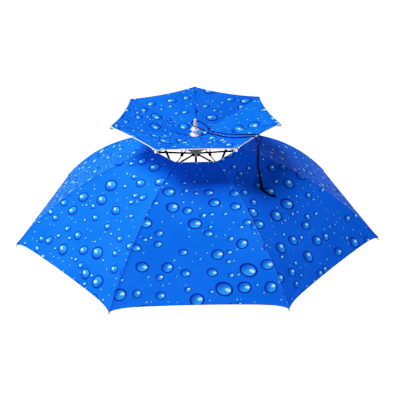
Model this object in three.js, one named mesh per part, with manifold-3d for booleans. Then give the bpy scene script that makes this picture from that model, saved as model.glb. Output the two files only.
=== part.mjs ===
// A two-layer umbrella hat. A wide canopy of seven gores has a vent in its crown, and a small dished
// canopy stands over the vent. Ribs, stretchers and posts fold round a short shaft under a white
// finial, and an elastic headband hangs inside from seven straps.
// Millimetres, +Z up, the wearer's front towards -Y. The hat stands on its seven rib ends at z = 0.
// Heights in the sizes below are measured from the corners of the main canopy's hem.
import * as THREE from "three";
import { mergeVertices } from "three/addons/utils/BufferGeometryUtils.js";
import Module from "manifold-3d";

const wasm = await Module();
wasm.setup();

// Sizes of the whole hat
const ribCount = 7;
const gap = 0.3; // between pieces that touch on the real hat
const cloth = 1; // thickness of canopy cloth, its hem and coating

// Main canopy
const spread = 385; // hat axis to a corner of the hem
const ventRadius = 93; // hat axis to a corner of the vent
const ventHeight = 180;
const ribBend = 612; // radius of the bend in a seam
const goreSag = 5; // how far the middle of a gore hangs in between two ribs
const hemScallop = 4; // how far the middle of the hem is drawn in
const hemEar = 7; // extra length of the cloth's corners at the rib ends

// Top canopy
const topSpread = 176; // hat axis to a corner of the top canopy
const topStack = 7; // its middle above the main ribs' inner ends
const topRise = 39; // how far its corners stand above its centre
const topScallop = 6;
const topFlatShare = 0.25; // share of a top gore's steps that lies flat

// Ribs, stretchers and posts
const ribRadius = 1.5;
const ribEndRadius = 2.1; // ball on a main rib's end
const ribEndReach = 2.8; // ball's centre beyond the cloth's corner
const restHeight = 1.7; // ball's centre above the floor; the ball is worn flat there
const pivotRise = 15; // main ribs' inner ends above the vent's corners
const pivotRadius = 9; // hat axis to the ribs' inner ends
const stretcherWidth = 3.2;
const stretcherDepth = 3.6;
const jointInset = 3; // joint on a main rib inside the vent's corner
const postRadius = 1.4;
const postReach = 65; // hat axis to a post between a main rib and a top rib
const saddleLength = 6; // clip that holds a post or a stretcher to a main rib
const saddleWall = 1;

// Shaft, notch, runner and finial
const shaftRadius = 3.4;
const notchRadius = 12.5;
const notchFloor = 4.4; // notch below the main ribs' inner ends
const runnerDrop = 33; // runner's pivots below the notch's
const runnerRadius = 10.8;
const runnerTop = 11; // runner above its pivots
const runnerFoot = 7; // runner below its pivots
const runnerTaper = 3.5; // how far the runner's foot is drawn in
const hubWall = 1.8; // plastic left between the shaft's bore and a slot
const finialHeight = 35.4;
const finialSocket = 9; // depth of the shaft's socket in the finial
const cordHoleRadius = 1.5;
const cordHoleShare = 0.865; // height of the cord's hole, as a share of the finial
const capRadius = 2.5; // white cap on a top rib
const capLength = 11;
const capNose = 3.6; // how far a cap sticks out past the cloth

// Cord through the finial, and the knot near its ends
const cordRadius = 1.15;
const cordSides = 8;
const cordStep = 5.6; // length of one step of a cord's tube
const knotRadius = 3.6;
const strandSpacing = 2.7; // between the two strands where they run side by side

// Headband and the straps that carry it
const bandRadius = 86; // inside of the headband
const bandThickness = 2;
const bandTop = 60;
const bandHeight = 32;
const strapWidth = 6;
const strapThickness = 1.2;
const strapOutset = 6; // strap's top end beyond the vent's corner, under a main rib
const strapLap = 20; // length sewn down on the headband

// Finial profile, from its foot upwards: radius in millimetres and height as a share of the finial
const finialProfile = [
  { radius: 11.2, height: 0 },
  { radius: 11.4, height: 0.04 },
  { radius: 10.6, height: 0.08 },
  { radius: 7.4, height: 0.13 },
  { radius: 6.8, height: 0.21 },
  { radius: 9, height: 0.32 },
  { radius: 9, height: 0.37 },
  { radius: 6.2, height: 0.47 },
  { radius: 5.1, height: 0.56 },
  { radius: 4.1, height: 0.7 },
  { radius: 3.4, height: 0.85 },
  { radius: 2.5, height: 0.94 },
  { radius: 1.4, height: 0.985 },
  { radius: 0, height: 1 },
];

// Straps: the rib that each hangs from, counted anticlockwise from the back, and how far round the
// headband its lower end is sewn from there, in degrees
const straps = [
  { rib: 1, swing: 0 },
  { rib: 2, swing: -25 },
  { rib: 3, swing: -12 },
  { rib: 4, swing: 0 },
  { rib: 5, swing: 0 },
  { rib: 6, swing: 12 },
  { rib: 7, swing: 25 },
];

// Cord: where it runs, as x, y and z in the same frame as the heights above. A point that names a
// canopy lies on it there instead.
const cordMouth = { x: 4.6, y: 0, z: 232.9 };
const rightStrand = [
  { ...cordMouth, x: gap },
  { ...cordMouth, x: 2.4 },
  cordMouth,
  { x: 10.3, y: 0, z: 231.6 },
  { x: 18.7, y: 0, z: 225 },
  { x: 27.3, y: 0, z: 216.5 },
  { x: 32.4, y: -1, z: 211.9 },
  { x: 37, y: -4.4, z: 210.6 },
  { x: 43.5, y: -11, on: "top" },
  { x: 56, y: -29, on: "top" },
  { x: 72, y: -48, on: "top" },
  { x: 96, y: -69, on: "top" },
  { x: 109.5, y: -80, on: "top" },
  { x: 117, y: -87.6, on: "top" },
  { x: 119.8, y: -90.4, on: "top" },
  { x: 123.2, y: -93.4, z: 241.3 },
  { x: 125.6, y: -95, z: 238.2 },
  { x: 126, y: -95.5, z: 226 },
  { x: 125, y: -96, z: 217.5 },
];
const leftStrand = [
  { ...cordMouth, x: -gap },
  { ...cordMouth, x: -2.4 },
  { ...cordMouth, x: -cordMouth.x },
  { x: -7.2, y: -2, z: 231.4 },
  { x: -5.5, y: -6.5, z: 227 },
  { x: 1.5, y: -7.5, z: 223.5 },
  { x: 8, y: -6.5, z: 219.5 },
  { x: 16.8, y: -4.5, z: 213.6 },
  { x: 27.5, y: -4.5, z: 208.1 },
  { x: 32.5, y: -11.5, z: 208.9 },
  { x: 37.5, y: -19, on: "top" },
  { x: 50, y: -44, on: "top" },
  { x: 65, y: -66, on: "top" },
  { x: 82, y: -84, on: "top" },
  { x: 96, y: -90, on: "top" },
  { x: 107.5, y: -98, on: "top" },
  { x: 111.5, y: -101.8, on: "top" },
  { x: 115, y: -105.2, z: 241.5 },
  { x: 117.2, y: -106, z: 238 },
  { x: 119, y: -104, z: 232 },
  { x: 121, y: -101, z: 222 },
];
const joinedStrands = [
  { x: 123, y: -96.5, z: 206 },
  { x: 122.5, y: -96, z: 190 },
  { x: 123, y: -96, z: 174 },
  { x: 125.3, y: -96.2, z: 161 },
  { x: 127.6, y: -98.5, on: "main" },
  { x: 128.6, y: -108.5, on: "main" },
  { x: 129.2, y: -118, on: "main" },
];
const knotPlace = { x: 129.6, y: -127.2, on: "main" };
const tailEnd = [
  { x: 138.4, y: -129.4, on: "main" },
  { x: 146.6, y: -131.4, on: "main" },
  { x: 156.6, y: -128.4, on: "main" },
];

const white = { color: 0xf1f3f8, roughness: 0.35, metalness: 0 };
const blue = { color: 0x0a5ce6, roughness: 0.55, metalness: 0 };
const black = { color: 0x111113, roughness: 0.45, metalness: 0.3 };
const grey = { color: 0x6c7782, roughness: 0.5, metalness: 0 };
const braid = { color: 0x0f0f12, roughness: 0.85, metalness: 0 };
const webbing = { color: 0x17171a, roughness: 0.9, metalness: 0 };

const ribStep = (2 * Math.PI) / ribCount;
const pivotHeight = ventHeight + pivotRise;
const topCentre = pivotHeight + topStack;
const jointReach = ventRadius - jointInset;
const strapReach = ventRadius + strapOutset;
const halfStep = ribStep / 2;

// The bend of a seam: a point at angle a from the crown is bendCentre + bend * (sin a, cos a).
const chordLength = Math.hypot(spread - ventRadius, ventHeight);
const chordAngle = Math.atan2(ventHeight, spread - ventRadius);
const halfBend = Math.asin(chordLength / 2 / ribBend);
const ventAngle = chordAngle - halfBend;
const hemAngle = chordAngle + halfBend;
const bendCentre = {
  r: ventRadius - ribBend * Math.sin(ventAngle),
  z: ventHeight - ribBend * Math.cos(ventAngle),
};
const onBend = (angle, inset) => ({
  r: bendCentre.r + (ribBend - inset) * Math.sin(angle),
  z: bendCentre.z + (ribBend - inset) * Math.cos(angle),
});

// A main rib runs under the seam, clear of the cloth on both sides of it.
const ridgeFall = Math.atan(Math.tan(halfStep) * Math.sin(hemAngle));
const ribInset = (cloth + gap + ribRadius) / Math.cos(ridgeFall);
const ribVent = onBend(ventAngle, ribInset);
const innerSlope = Math.atan2(pivotHeight - ribVent.z, ribVent.r - pivotRadius);
const straightRib = (r) => pivotHeight - (r - pivotRadius) * Math.tan(innerSlope);
const bentRib = (r) =>
  bendCentre.z + Math.sqrt((ribBend - ribInset) ** 2 - (r - bendCentre.r) ** 2);
const ribHeight = (r) => (r < ribVent.r ? straightRib(r) : bentRib(r));
const ribSlope = (r) =>
  r < ribVent.r ? innerSlope : Math.asin((r - bendCentre.r) / (ribBend - ribInset));

// The ball on a rib's end, and the lift that stands the hat on those balls
const ribTip = onBend(hemAngle, ribInset);
const ribEnd = {
  r: ribTip.r + ribEndReach * Math.cos(hemAngle),
  z: ribTip.z - ribEndReach * Math.sin(hemAngle),
};
const lift = restHeight - ribEnd.z;

// The top canopy is flat under the finial and rises from there. Its ribs run straight to the white
// caps under its corners.
const flatRadius = finialProfile[1].radius + gap;
const topCorner = topCentre + topRise;
const flatRib = topCentre - cloth - gap - ribRadius;
const capHeight = topCorner - cloth - gap - capRadius;
const topSlope = Math.atan2(capHeight - flatRib, topSpread - flatRadius);
const topRibHeight = (r) => flatRib + (r - flatRadius) * Math.tan(topSlope);

const runnerHeight = pivotHeight - runnerDrop;
const slotWidth = Math.max(2 * ribRadius, stretcherWidth) + 2 * gap;
const slotFloor = shaftRadius + gap + hubWall;

// Solids from geometries, and back
function solid(geometry) {
  const bare = geometry.index ? geometry.toNonIndexed() : geometry.clone();
  bare.deleteAttribute("normal");
  bare.deleteAttribute("uv");
  const merged = mergeVertices(bare, 1e-4);
  return new wasm.Manifold(
    new wasm.Mesh({
      numProp: 3,
      vertProperties: merged.attributes.position.array,
      triVerts: new Uint32Array(merged.index.array),
    }),
  );
}

function geometryOf(shape) {
  const mesh = shape.getMesh();
  const geometry = new THREE.BufferGeometry();
  geometry.setAttribute("position", new THREE.BufferAttribute(mesh.vertProperties, 3));
  geometry.setIndex(new THREE.BufferAttribute(mesh.triVerts, 1));
  return geometry;
}

const join = (shapes) => geometryOf(shapes.reduce((whole, shape) => whole.add(shape)));
const cut = (shape, tools) =>
  geometryOf(tools.reduce((left, tool) => left.subtract(tool), shape));

function piece(name, geometry, finish) {
  const mesh = new THREE.Mesh(geometry, new THREE.MeshStandardMaterial(finish));
  mesh.name = name;
  return mesh;
}

// A box that is bent: place(across, through, along) gives a point for across and through in
// -0.5..0.5 and along in 0..1.
function bentBox(acrossSteps, alongSteps, place) {
  const geometry = new THREE.BoxGeometry(1, 1, 1, acrossSteps, 1, alongSteps);
  const corners = geometry.attributes.position;
  for (let i = 0; i < corners.count; i += 1) {
    const point = place(corners.getX(i), corners.getY(i), corners.getZ(i) + 0.5);
    corners.setXYZ(i, point.x, point.y, point.z);
  }
  return geometry;
}

// A rod through points (r, z) of the upright plane y = 0
function rod(path, radius, sides, steps) {
  const outline = new THREE.Shape(
    Array.from({ length: sides }, (_, i) => {
      const turn = ((i + 0.5) * 2 * Math.PI) / sides;
      return new THREE.Vector2(radius * Math.cos(turn), radius * Math.sin(turn));
    }),
  );
  return new THREE.ExtrudeGeometry(outline, { steps, extrudePath: path });
}

const upright = (point) => new THREE.Vector3(point.r, 0, point.z);
const straightPath = (from, to) => new THREE.LineCurve3(upright(from), upright(to));

// A block in the upright plane, tilted down by slope towards its outer end
function block(length, width, height, centre, slope) {
  return new THREE.BoxGeometry(length, width, height)
    .rotateY(slope)
    .translate(centre.r, 0, centre.z);
}

// One gore, centred on +X. The cloth's outer face follows straight chords between two seams, drawn
// in by the sag, and its edges keep half a gap to the seams.
function gore(seam, sag, acrossSteps, alongSteps) {
  return bentBox(acrossSteps, alongSteps, (across, through, along) => {
    const side = 2 * across;
    const edge = seam(along, side);
    const halfChord = edge.r * Math.sin(halfStep) - gap / 2 / Math.cos(halfStep);
    const hang = sag * Math.sin(Math.PI * along) * (1 - side * side);
    const depth = hang + (0.5 - through) * cloth;
    const x = edge.r * Math.cos(halfStep);
    const y = side * halfChord;
    const turn = Math.atan2(y, x);
    const inward = depth * Math.sin(edge.slope);
    return new THREE.Vector3(
      x - inward * Math.cos(turn),
      y - inward * Math.sin(turn),
      edge.z - depth * Math.cos(edge.slope),
    );
  });
}

// Main canopy: the hem is drawn in between the ribs, but for the ears at its corners.
function mainSeam(along, side) {
  const drawnIn = hemScallop * (1 - side ** 2) + hemEar * (1 - side ** 12);
  const fullTurn = hemAngle - ventAngle;
  const angle = ventAngle + along * (fullTurn - drawnIn / ribBend);
  return { ...onBend(angle, 0), slope: angle };
}

// Top canopy: gores that lie flat under the finial and rise from there to the corners
function topSeam(along, side) {
  const rising = (along - topFlatShare) / (1 - topFlatShare);
  const reach = topSpread - topScallop * (1 - side ** 2);
  if (rising <= 0) {
    const centre = (shaftRadius + gap) / Math.cos(halfStep);
    const r = THREE.MathUtils.lerp(centre, flatRadius, along / topFlatShare);
    return { r, z: topCentre, slope: 0 };
  }
  const r = THREE.MathUtils.lerp(flatRadius, reach, rising);
  const slope = -Math.atan2(topRise, topSpread - flatRadius);
  return { r, z: topCentre - (r - flatRadius) * Math.tan(slope), slope };
}

function mainRib() {
  const straight = straightPath({ r: pivotRadius, z: pivotHeight }, ribVent);
  const bend = new THREE.CatmullRomCurve3(
    Array.from({ length: 13 }, (_, i) =>
      upright(onBend(ventAngle + ((hemAngle - ventAngle) * i) / 12, ribInset)),
    ),
  );
  const path = new THREE.CurvePath();
  path.add(straight);
  path.add(bend);
  path.add(straightPath(ribTip, ribEnd));
  const ball = new THREE.SphereGeometry(ribEndRadius, 10, 6).rotateX(Math.PI / 2);
  const floorSize = 4 * ribEndRadius;
  const floor = new THREE.BoxGeometry(floorSize, floorSize, floorSize);
  const worn = solid(ball.translate(ribEnd.r, 0, ribEnd.z)).subtract(
    solid(floor.translate(ribEnd.r, 0, -lift - floorSize / 2)),
  );
  return join([solid(rod(path, ribRadius, 8, 16)), worn]);
}

// A clip round a main rib at radius r. It opens downwards for a post and upwards for a stretcher.
function saddle(r, opening) {
  const slope = ribSlope(r);
  const width = 2 * (ribRadius + gap + saddleWall);
  const height = 1.6 * ribRadius + gap + saddleWall;
  const closed = ribRadius + gap + saddleWall - height / 2;
  const centre = { r, z: ribHeight(r) - opening * closed };
  const channel = { r, z: ribHeight(r) + opening * (height / 2 - ribRadius - gap) };
  return solid(block(saddleLength, width, height, centre, slope)).subtract(
    solid(block(2 * saddleLength, 2 * (ribRadius + gap), height, channel, slope)),
  );
}

function topRib() {
  const inner = { r: pivotRadius, z: topRibHeight(pivotRadius) };
  const outer = { r: topSpread, z: topRibHeight(topSpread) };
  const foot = { r: postReach, z: ribHeight(postReach) + ribRadius + 2 * gap };
  const head = { r: postReach, z: topRibHeight(postReach) };
  return join([
    solid(rod(straightPath(inner, outer), ribRadius, 8, 1)),
    solid(rod(straightPath(foot, head), postRadius, 8, 1)),
    saddle(postReach, -1),
  ]);
}

function stretcher() {
  const inner = { r: pivotRadius, z: runnerHeight };
  const outer = {
    r: jointReach,
    z: ribHeight(jointReach) - ribRadius - gap - stretcherDepth / 2,
  };
  const length = Math.hypot(outer.r - inner.r, outer.z - inner.z);
  const middle = { r: (inner.r + outer.r) / 2, z: (inner.z + outer.z) / 2 };
  const rise = Math.atan2(outer.z - inner.z, outer.r - inner.r);
  return join([
    solid(block(length, stretcherWidth, stretcherDepth, middle, -rise)),
    saddle(jointReach, 1),
  ]);
}

function topCap() {
  const bore = ribRadius + gap;
  const back = capNose - capLength;
  const profile = [
    [bore, back],
    [capRadius * 0.9, back],
    [capRadius, back + 1],
    [capRadius, capNose - 1.5],
    [capRadius * 0.6, capNose],
    [0, capNose],
    [0, gap],
    [bore, gap],
    [bore, back],
  ].map(([radius, along]) => new THREE.Vector2(radius, along));
  return new THREE.LatheGeometry(profile, 8)
    .rotateZ(-Math.PI / 2)
    .rotateY(-topSlope)
    .translate(topSpread, 0, topRibHeight(topSpread));
}

// Slots of a hub: one upright slot for each rib plane, from bottom to top
function slots(bottom, top) {
  return Array.from({ length: ribCount }, (_, i) => {
    const slot = new THREE.BoxGeometry(notchRadius * 2, slotWidth, top - bottom)
      .translate(slotFloor + notchRadius, 0, (top + bottom) / 2)
      .rotateZ(Math.PI / 2 + i * ribStep);
    return solid(slot);
  });
}

function lathe(points, segments) {
  return new THREE.LatheGeometry(
    points.map(([radius, z]) => new THREE.Vector2(radius, z)),
    segments,
  ).rotateX(Math.PI / 2);
}

function notch() {
  const bore = shaftRadius + gap;
  const bottom = pivotHeight - notchFloor;
  const top = topCentre - cloth - gap;
  const body = lathe(
    [
      [bore, bottom],
      [notchRadius - 1.5, bottom],
      [notchRadius, bottom + 1.5],
      [notchRadius, top - 1],
      [notchRadius - 1, top],
      [bore, top],
      [bore, bottom],
    ],
    28,
  );
  const fall = (notchRadius - pivotRadius) * Math.tan(innerSlope);
  return cut(solid(body), slots(pivotHeight - fall - ribRadius - gap, top + 1));
}

function runner() {
  const bore = shaftRadius + gap;
  const bottom = runnerHeight - runnerFoot;
  const top = runnerHeight + runnerTop;
  const body = lathe(
    [
      [0, bottom],
      [runnerRadius - runnerTaper, bottom],
      [runnerRadius, runnerHeight - stretcherDepth / 2],
      [runnerRadius, top - 1],
      [runnerRadius - 1, top],
      [bore, top],
      [bore, runnerHeight - stretcherDepth / 2],
      [0, runnerHeight - stretcherDepth / 2],
    ],
    28,
  );
  const clear = stretcherDepth / 2 + 2 * gap;
  return cut(solid(body), slots(runnerHeight - clear, runnerHeight + clear));
}

function shaft() {
  const bottom = runnerHeight - stretcherDepth / 2 + gap;
  const top = topCentre + gap + finialSocket - gap;
  return lathe(
    [
      [0, bottom],
      [shaftRadius, bottom],
      [shaftRadius, top],
      [0, top],
    ],
    16,
  );
}

function finial() {
  const bore = shaftRadius + gap;
  const foot = topCentre + gap;
  const outside = finialProfile.map(({ radius, height }) => [radius, foot + height * finialHeight]);
  const body = lathe(
    [[0, foot + finialSocket], [bore, foot + finialSocket], [bore, foot], ...outside],
    20,
  );
  const hole = new THREE.CylinderGeometry(cordHoleRadius, cordHoleRadius, 4 * runnerRadius, 10)
    .rotateZ(Math.PI / 2)
    .translate(0, 0, foot + cordHoleShare * finialHeight);
  return cut(solid(body), [solid(hole)]);
}

function headband() {
  const outer = bandRadius + bandThickness;
  const bottom = bandTop - bandHeight;
  return lathe(
    [
      [bandRadius, bottom],
      [outer, bottom],
      [outer, bandTop],
      [bandRadius, bandTop],
      [bandRadius, bottom],
    ],
    42,
  );
}

// A strap from under a main rib to the outside of the headband. Its foot is sewn on flat.
function strap(swing) {
  const seat = bandRadius + bandThickness + gap + strapThickness / 2;
  const knots = [
    { r: strapReach, z: ribHeight(strapReach) - ribRadius - 3 * gap, turn: 0 },
    { r: seat, z: bandTop + strapWidth, turn: swing },
    { r: seat, z: bandTop, turn: swing },
    { r: seat, z: bandTop - strapLap, turn: swing },
  ];
  return bentBox(1, knots.length - 1, (across, through, along) => {
    const knot = knots[Math.round(along * (knots.length - 1))];
    const radius = knot.r + through * strapThickness;
    const turn = THREE.MathUtils.degToRad(knot.turn) + Math.asin((across * strapWidth) / radius);
    return new THREE.Vector3(radius * Math.cos(turn), radius * Math.sin(turn), knot.z);
  });
}

// Height of a canopy's outer face over x, y
function canopyHeight(x, y, canopy) {
  const turn = Math.atan2(x, -y);
  const side = turn - Math.round(turn / ribStep) * ribStep;
  const r = (Math.hypot(x, y) * Math.cos(side)) / Math.cos(halfStep);
  if (canopy === "top") {
    return {
      z: topCentre + (Math.max(r - flatRadius, 0) * topRise) / (topSpread - flatRadius),
      slope: Math.atan2(topRise, topSpread - flatRadius),
    };
  }
  const slope = Math.asin((r - bendCentre.r) / ribBend);
  const along = Math.max(slope - ventAngle, 0) / (hemAngle - ventAngle);
  const across = Math.tan(side) / Math.tan(halfStep);
  const hang = goreSag * Math.sin(Math.PI * along) * (1 - across * across);
  return { z: bendCentre.z + ribBend * Math.cos(slope) - hang / Math.cos(slope), slope };
}

function cordPoint({ x, y, z, on }, radius) {
  if (on === undefined) return new THREE.Vector3(x, y, z);
  const seat = canopyHeight(x, y, on);
  return new THREE.Vector3(x, y, seat.z + (radius + gap) / Math.cos(seat.slope));
}

// A tube along the cord. Its ends stop short of the knot's centre by the given distances.
function cordTube(points, startShort, endShort) {
  const ends = [0, points.length - 1];
  const shorts = [startShort, endShort];
  ends.forEach((end, i) => {
    const inner = points[end === 0 ? 1 : end - 1];
    points[end] = points[end].clone().lerp(inner, shorts[i] / points[end].distanceTo(inner));
  });
  const path = new THREE.CatmullRomCurve3(points, false, "centripetal");
  return rod(path, cordRadius, cordSides, Math.round(path.getLength() / cordStep));
}

const knotCentre = cordPoint(knotPlace, knotRadius);
const knotFace = knotRadius + gap;

// Points moved to one side, where two strands run side by side
const beside = (points, x, y) =>
  points.map((point) => ({ ...point, x: point.x + x, y: point.y + y }));
const besideKnot = (x, y) => knotCentre.clone().add(new THREE.Vector3(x, y, 0));

function strand(points, side) {
  const shift = (side * strandSpacing) / 2;
  const route = [...points, ...beside(joinedStrands, shift, 0)];
  const centres = route.map((point) => cordPoint(point, cordRadius));
  return cordTube([...centres, besideKnot(shift, 0)], 0, knotFace);
}

function tail(side) {
  const shift = (side * strandSpacing) / 2;
  const centres = beside(tailEnd, 0, shift).map((point) => cordPoint(point, cordRadius));
  return cordTube([besideKnot(0, shift), ...centres], knotFace, 0);
}

const knot = () =>
  new THREE.SphereGeometry(knotRadius, 12, 8).translate(knotCentre.x, knotCentre.y, knotCentre.z);

const hat = new THREE.Group();
hat.position.z = lift;

hat.add(piece("finial", finial(), white));
hat.add(piece("notch", notch(), grey));
hat.add(piece("runner", runner(), grey));
hat.add(piece("shaft", shaft(), grey));
hat.add(piece("headband", headband(), webbing));
hat.add(piece("cord_strand_right", strand(rightStrand, 1), braid));
hat.add(piece("cord_strand_left", strand(leftStrand, -1), braid));
hat.add(piece("cord_knot", knot(), braid));
hat.add(piece("cord_tail_right", tail(1), braid));
hat.add(piece("cord_tail_left", tail(-1), braid));

// What repeats round the hat stands in a group of its own, turned to its place.
function around(turn, pieces) {
  const group = new THREE.Group();
  group.rotation.z = turn;
  group.add(...pieces);
  hat.add(group);
}

for (let i = 1; i <= ribCount; i += 1) {
  const ribTurn = Math.PI / 2 + (i - 1) * ribStep;
  around(ribTurn, [
    piece(`main_rib_${i}`, mainRib(), black),
    piece(`stretcher_${i}`, stretcher(), black),
    piece(`top_rib_${i}`, topRib(), black),
    piece(`top_cap_${i}`, topCap(), white),
  ]);
  around(ribTurn + halfStep, [
    piece(`main_gore_${i}`, gore(mainSeam, goreSag, 6, 10), blue),
    piece(`top_gore_${i}`, gore(topSeam, 0, 4, 4), blue),
  ]);
}
for (const { rib, swing } of straps) {
  around(Math.PI / 2 + (rib - 1) * ribStep, [
    piece(`band_strap_${rib}`, strap(swing), webbing),
  ]);
}

export default hat;
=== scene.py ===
import bpy, bmesh, math
from mathutils import Matrix, Vector, noise


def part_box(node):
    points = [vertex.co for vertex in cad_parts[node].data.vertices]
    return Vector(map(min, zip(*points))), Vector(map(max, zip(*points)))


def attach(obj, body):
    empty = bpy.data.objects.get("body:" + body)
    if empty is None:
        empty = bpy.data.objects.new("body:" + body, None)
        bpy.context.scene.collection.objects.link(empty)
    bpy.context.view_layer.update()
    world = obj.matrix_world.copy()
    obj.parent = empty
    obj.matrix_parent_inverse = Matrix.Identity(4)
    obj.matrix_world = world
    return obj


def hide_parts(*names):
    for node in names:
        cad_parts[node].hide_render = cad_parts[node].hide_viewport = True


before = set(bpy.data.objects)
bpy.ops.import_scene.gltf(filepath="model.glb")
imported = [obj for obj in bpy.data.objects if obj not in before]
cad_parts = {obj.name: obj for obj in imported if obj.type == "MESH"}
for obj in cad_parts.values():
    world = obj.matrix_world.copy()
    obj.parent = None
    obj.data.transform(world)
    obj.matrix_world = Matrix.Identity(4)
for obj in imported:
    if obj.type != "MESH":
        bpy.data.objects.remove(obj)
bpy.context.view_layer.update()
print("frame loaded")

mm = 0.001

# The whole hat, as the frame was built: heights in the tables below are above the hem's corners
hat = {
    "ribs": 7,
    "runnerFoot": 155 * mm,
    "cloth": 1 * mm,  # thickness that the frame gives its cloth
    "gap": 0.3 * mm,
    "pivotRadius": 9 * mm,
    "pivotHeight": 195 * mm,
}
hat["lift"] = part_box("runner")[0][2] - hat["runnerFoot"]  # the hem's corners above the floor
ribStep = 2 * math.pi / hat["ribs"]
halfStep = ribStep / 2


def mix(a, b, share):
    return a + (b - a) * share


def clamp(value, low=0.0, high=1.0):
    return max(low, min(high, value))


def smooth(low, high, value):
    share = clamp((value - low) / (high - low))
    return share * share * (3 - 2 * share)


def nodesNamed(stem):
    return [f"{stem}_{i}" for i in range(1, hat["ribs"] + 1)]


# Camera: the photograph's own view, about 2.2 m away and 28 degrees above the hem
camera = {
    "elevation": 28.32,
    "turn": -0.12,
    "roll": 0.999,
    "distance": 2.2167,
    "focal": 1032.06,  # in pixels of a 400 pixel frame
    "centre": (197.07, 221.4),  # where the view's axis falls in the frame
    "frame": 400,
    "sensor": 36,
    "near": 0.05, "far": 50,
}


def makeCamera(c):
    up, side = math.radians(c["elevation"]), math.radians(c["turn"])
    roll = math.radians(c["roll"])
    right = Vector((math.cos(side), math.sin(side), 0))
    ahead = Vector((-math.sin(side), math.cos(side), 0))
    forward = ahead * math.cos(up) - Vector((0, 0, math.sin(up)))
    above = ahead * math.sin(up) + Vector((0, 0, math.cos(up)))
    place = Vector((0, 0, hat["lift"])) - forward * c["distance"]
    right, above = (right * math.cos(roll) - above * math.sin(roll),
                    right * math.sin(roll) + above * math.cos(roll))
    middle = c["frame"] / 2  # turned so that the axis falls where it does in the photograph
    aim = (forward * c["focal"] + right * (middle - c["centre"][0])
           + above * (c["centre"][1] - middle)).normalized()
    right = aim.cross(above).normalized()
    above = right.cross(aim)
    data = bpy.data.cameras.new("camera")
    data.sensor_width = c["sensor"]
    data.lens = c["focal"] * c["sensor"] / c["frame"]
    data.clip_start, data.clip_end = c["near"], c["far"]
    cam = bpy.data.objects.new("camera", data)
    bpy.context.scene.collection.objects.link(cam)
    cam.matrix_world = Matrix.Translation(place) @ Matrix((right, above, -aim)).transposed().to_4x4()
    bpy.context.scene.camera = cam


makeCamera(camera)
print("camera placed")


# Shader building: a socket that takes part in sums, and one method for every other node
class Socket:
    def __init__(self, finish, out):
        self.finish, self.out = finish, out

    def math(self, operation, other=None, swapped=False):
        pair = [self] if other is None else [self, other]
        return self.finish.node("Math", {"operation": operation}, pair[::-1] if swapped else pair)

    def __add__(self, other): return self.math("ADD", other)
    def __radd__(self, other): return self.math("ADD", other, True)
    def __sub__(self, other): return self.math("SUBTRACT", other)
    def __rsub__(self, other): return self.math("SUBTRACT", other, True)
    def __mul__(self, other): return self.math("MULTIPLY", other)
    def __rmul__(self, other): return self.math("MULTIPLY", other, True)
    def __truediv__(self, other): return self.math("DIVIDE", other)
    def __pow__(self, other): return self.math("POWER", other)
    def __lt__(self, other): return self.math("LESS_THAN", other)
    def __abs__(self): return self.math("ABSOLUTE")


def tint(code):
    parts = [int(code[i:i + 2], 16) / 255 for i in (0, 2, 4)]
    return [p / 12.92 if p <= 0.04045 else ((p + 0.055) / 1.055) ** 2.4 for p in parts] + [1]


# The studio's film: light builds up softly towards white, and shade keeps its colour
film = {"shoulder": 2.7, "stops": [0.02, 0.05, 0.1, 0.18, 0.28, 0.42, 0.6, 0.8]}


def filmed(value):
    return (1 - math.exp(-film["shoulder"] * value)) / (1 - math.exp(-film["shoulder"]))


def printed(code):  # a colour as the film shows it under full light
    full = 1 - math.exp(-film["shoulder"])
    return [-math.log(1 - part * full) / film["shoulder"] for part in tint(code)[:3]] + [1]


class Finish:
    def __init__(self, name, **constants):
        self.material = bpy.data.materials.new(name)
        self.material.use_nodes = True
        self.tree = self.material.node_tree
        self.tree.nodes.clear()
        self.shader = self.tree.nodes.new("ShaderNodeBsdfPrincipled")
        output = self.tree.nodes.new("ShaderNodeOutputMaterial")
        self.tree.links.new(self.shader.outputs[0], output.inputs[0])
        self.set(**constants)

    def set(self, **values):
        for name, value in values.items():
            self.feed(self.shader.inputs[name.replace("_", " ")], value)

    def feed(self, slot, value):
        if isinstance(value, Socket):
            self.tree.links.new(value.out, slot)
        elif value is not None:
            slot.default_value = value

    def node(self, kind, settings, values, output=0):
        made = self.tree.nodes.new("ShaderNode" + kind)
        for name, value in settings.items():
            setattr(made, name, value)
        pairs = values.items() if isinstance(values, dict) else enumerate(values)
        for slot, value in pairs:
            self.feed(made.inputs[slot], value)
        outs = output if isinstance(output, list) else [output]
        found = [Socket(self, made.outputs[o]) for o in outs]
        return found[0] if len(found) == 1 else found

    def spot(self):
        return self.node("TexCoord", {}, {}, "Object")

    def flat(self, name):
        return self.node("UVMap", {"uv_map": name}, {})

    def split(self, where):
        return self.node("SeparateXYZ", {}, [where], [0, 1, 2])

    def noise(self, where, scale, detail=3, roughness=0.5):
        values = {"Vector": where, "Scale": scale, "Detail": detail, "Roughness": roughness}
        return self.node("TexNoise", {}, values)

    def wave(self, where, scale, direction, distortion=0.0):
        values = {"Vector": where, "Scale": scale, "Distortion": distortion}
        return self.node("TexWave", {"bands_direction": direction}, values)

    def ramp(self, value, low, high):  # 0 below low, 1 above high
        settings = {"interpolation_type": "SMOOTHSTEP"}
        return self.node("MapRange", settings, {"Value": value, "From Min": low, "From Max": high})

    def blend(self, share, first, second):
        settings = {"data_type": "RGBA", "clamp_factor": True}
        return self.node("Mix", settings, {0: share, 6: first, 7: second}, 2)

    def vector(self, operation, *values):
        return self.node("VectorMath", {"operation": operation}, values)

    def bump(self, height, distance, strength=1.0, under=None):
        values = {"Strength": strength, "Distance": distance, "Height": height, "Normal": under}
        return self.node("Bump", {}, values)


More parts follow.
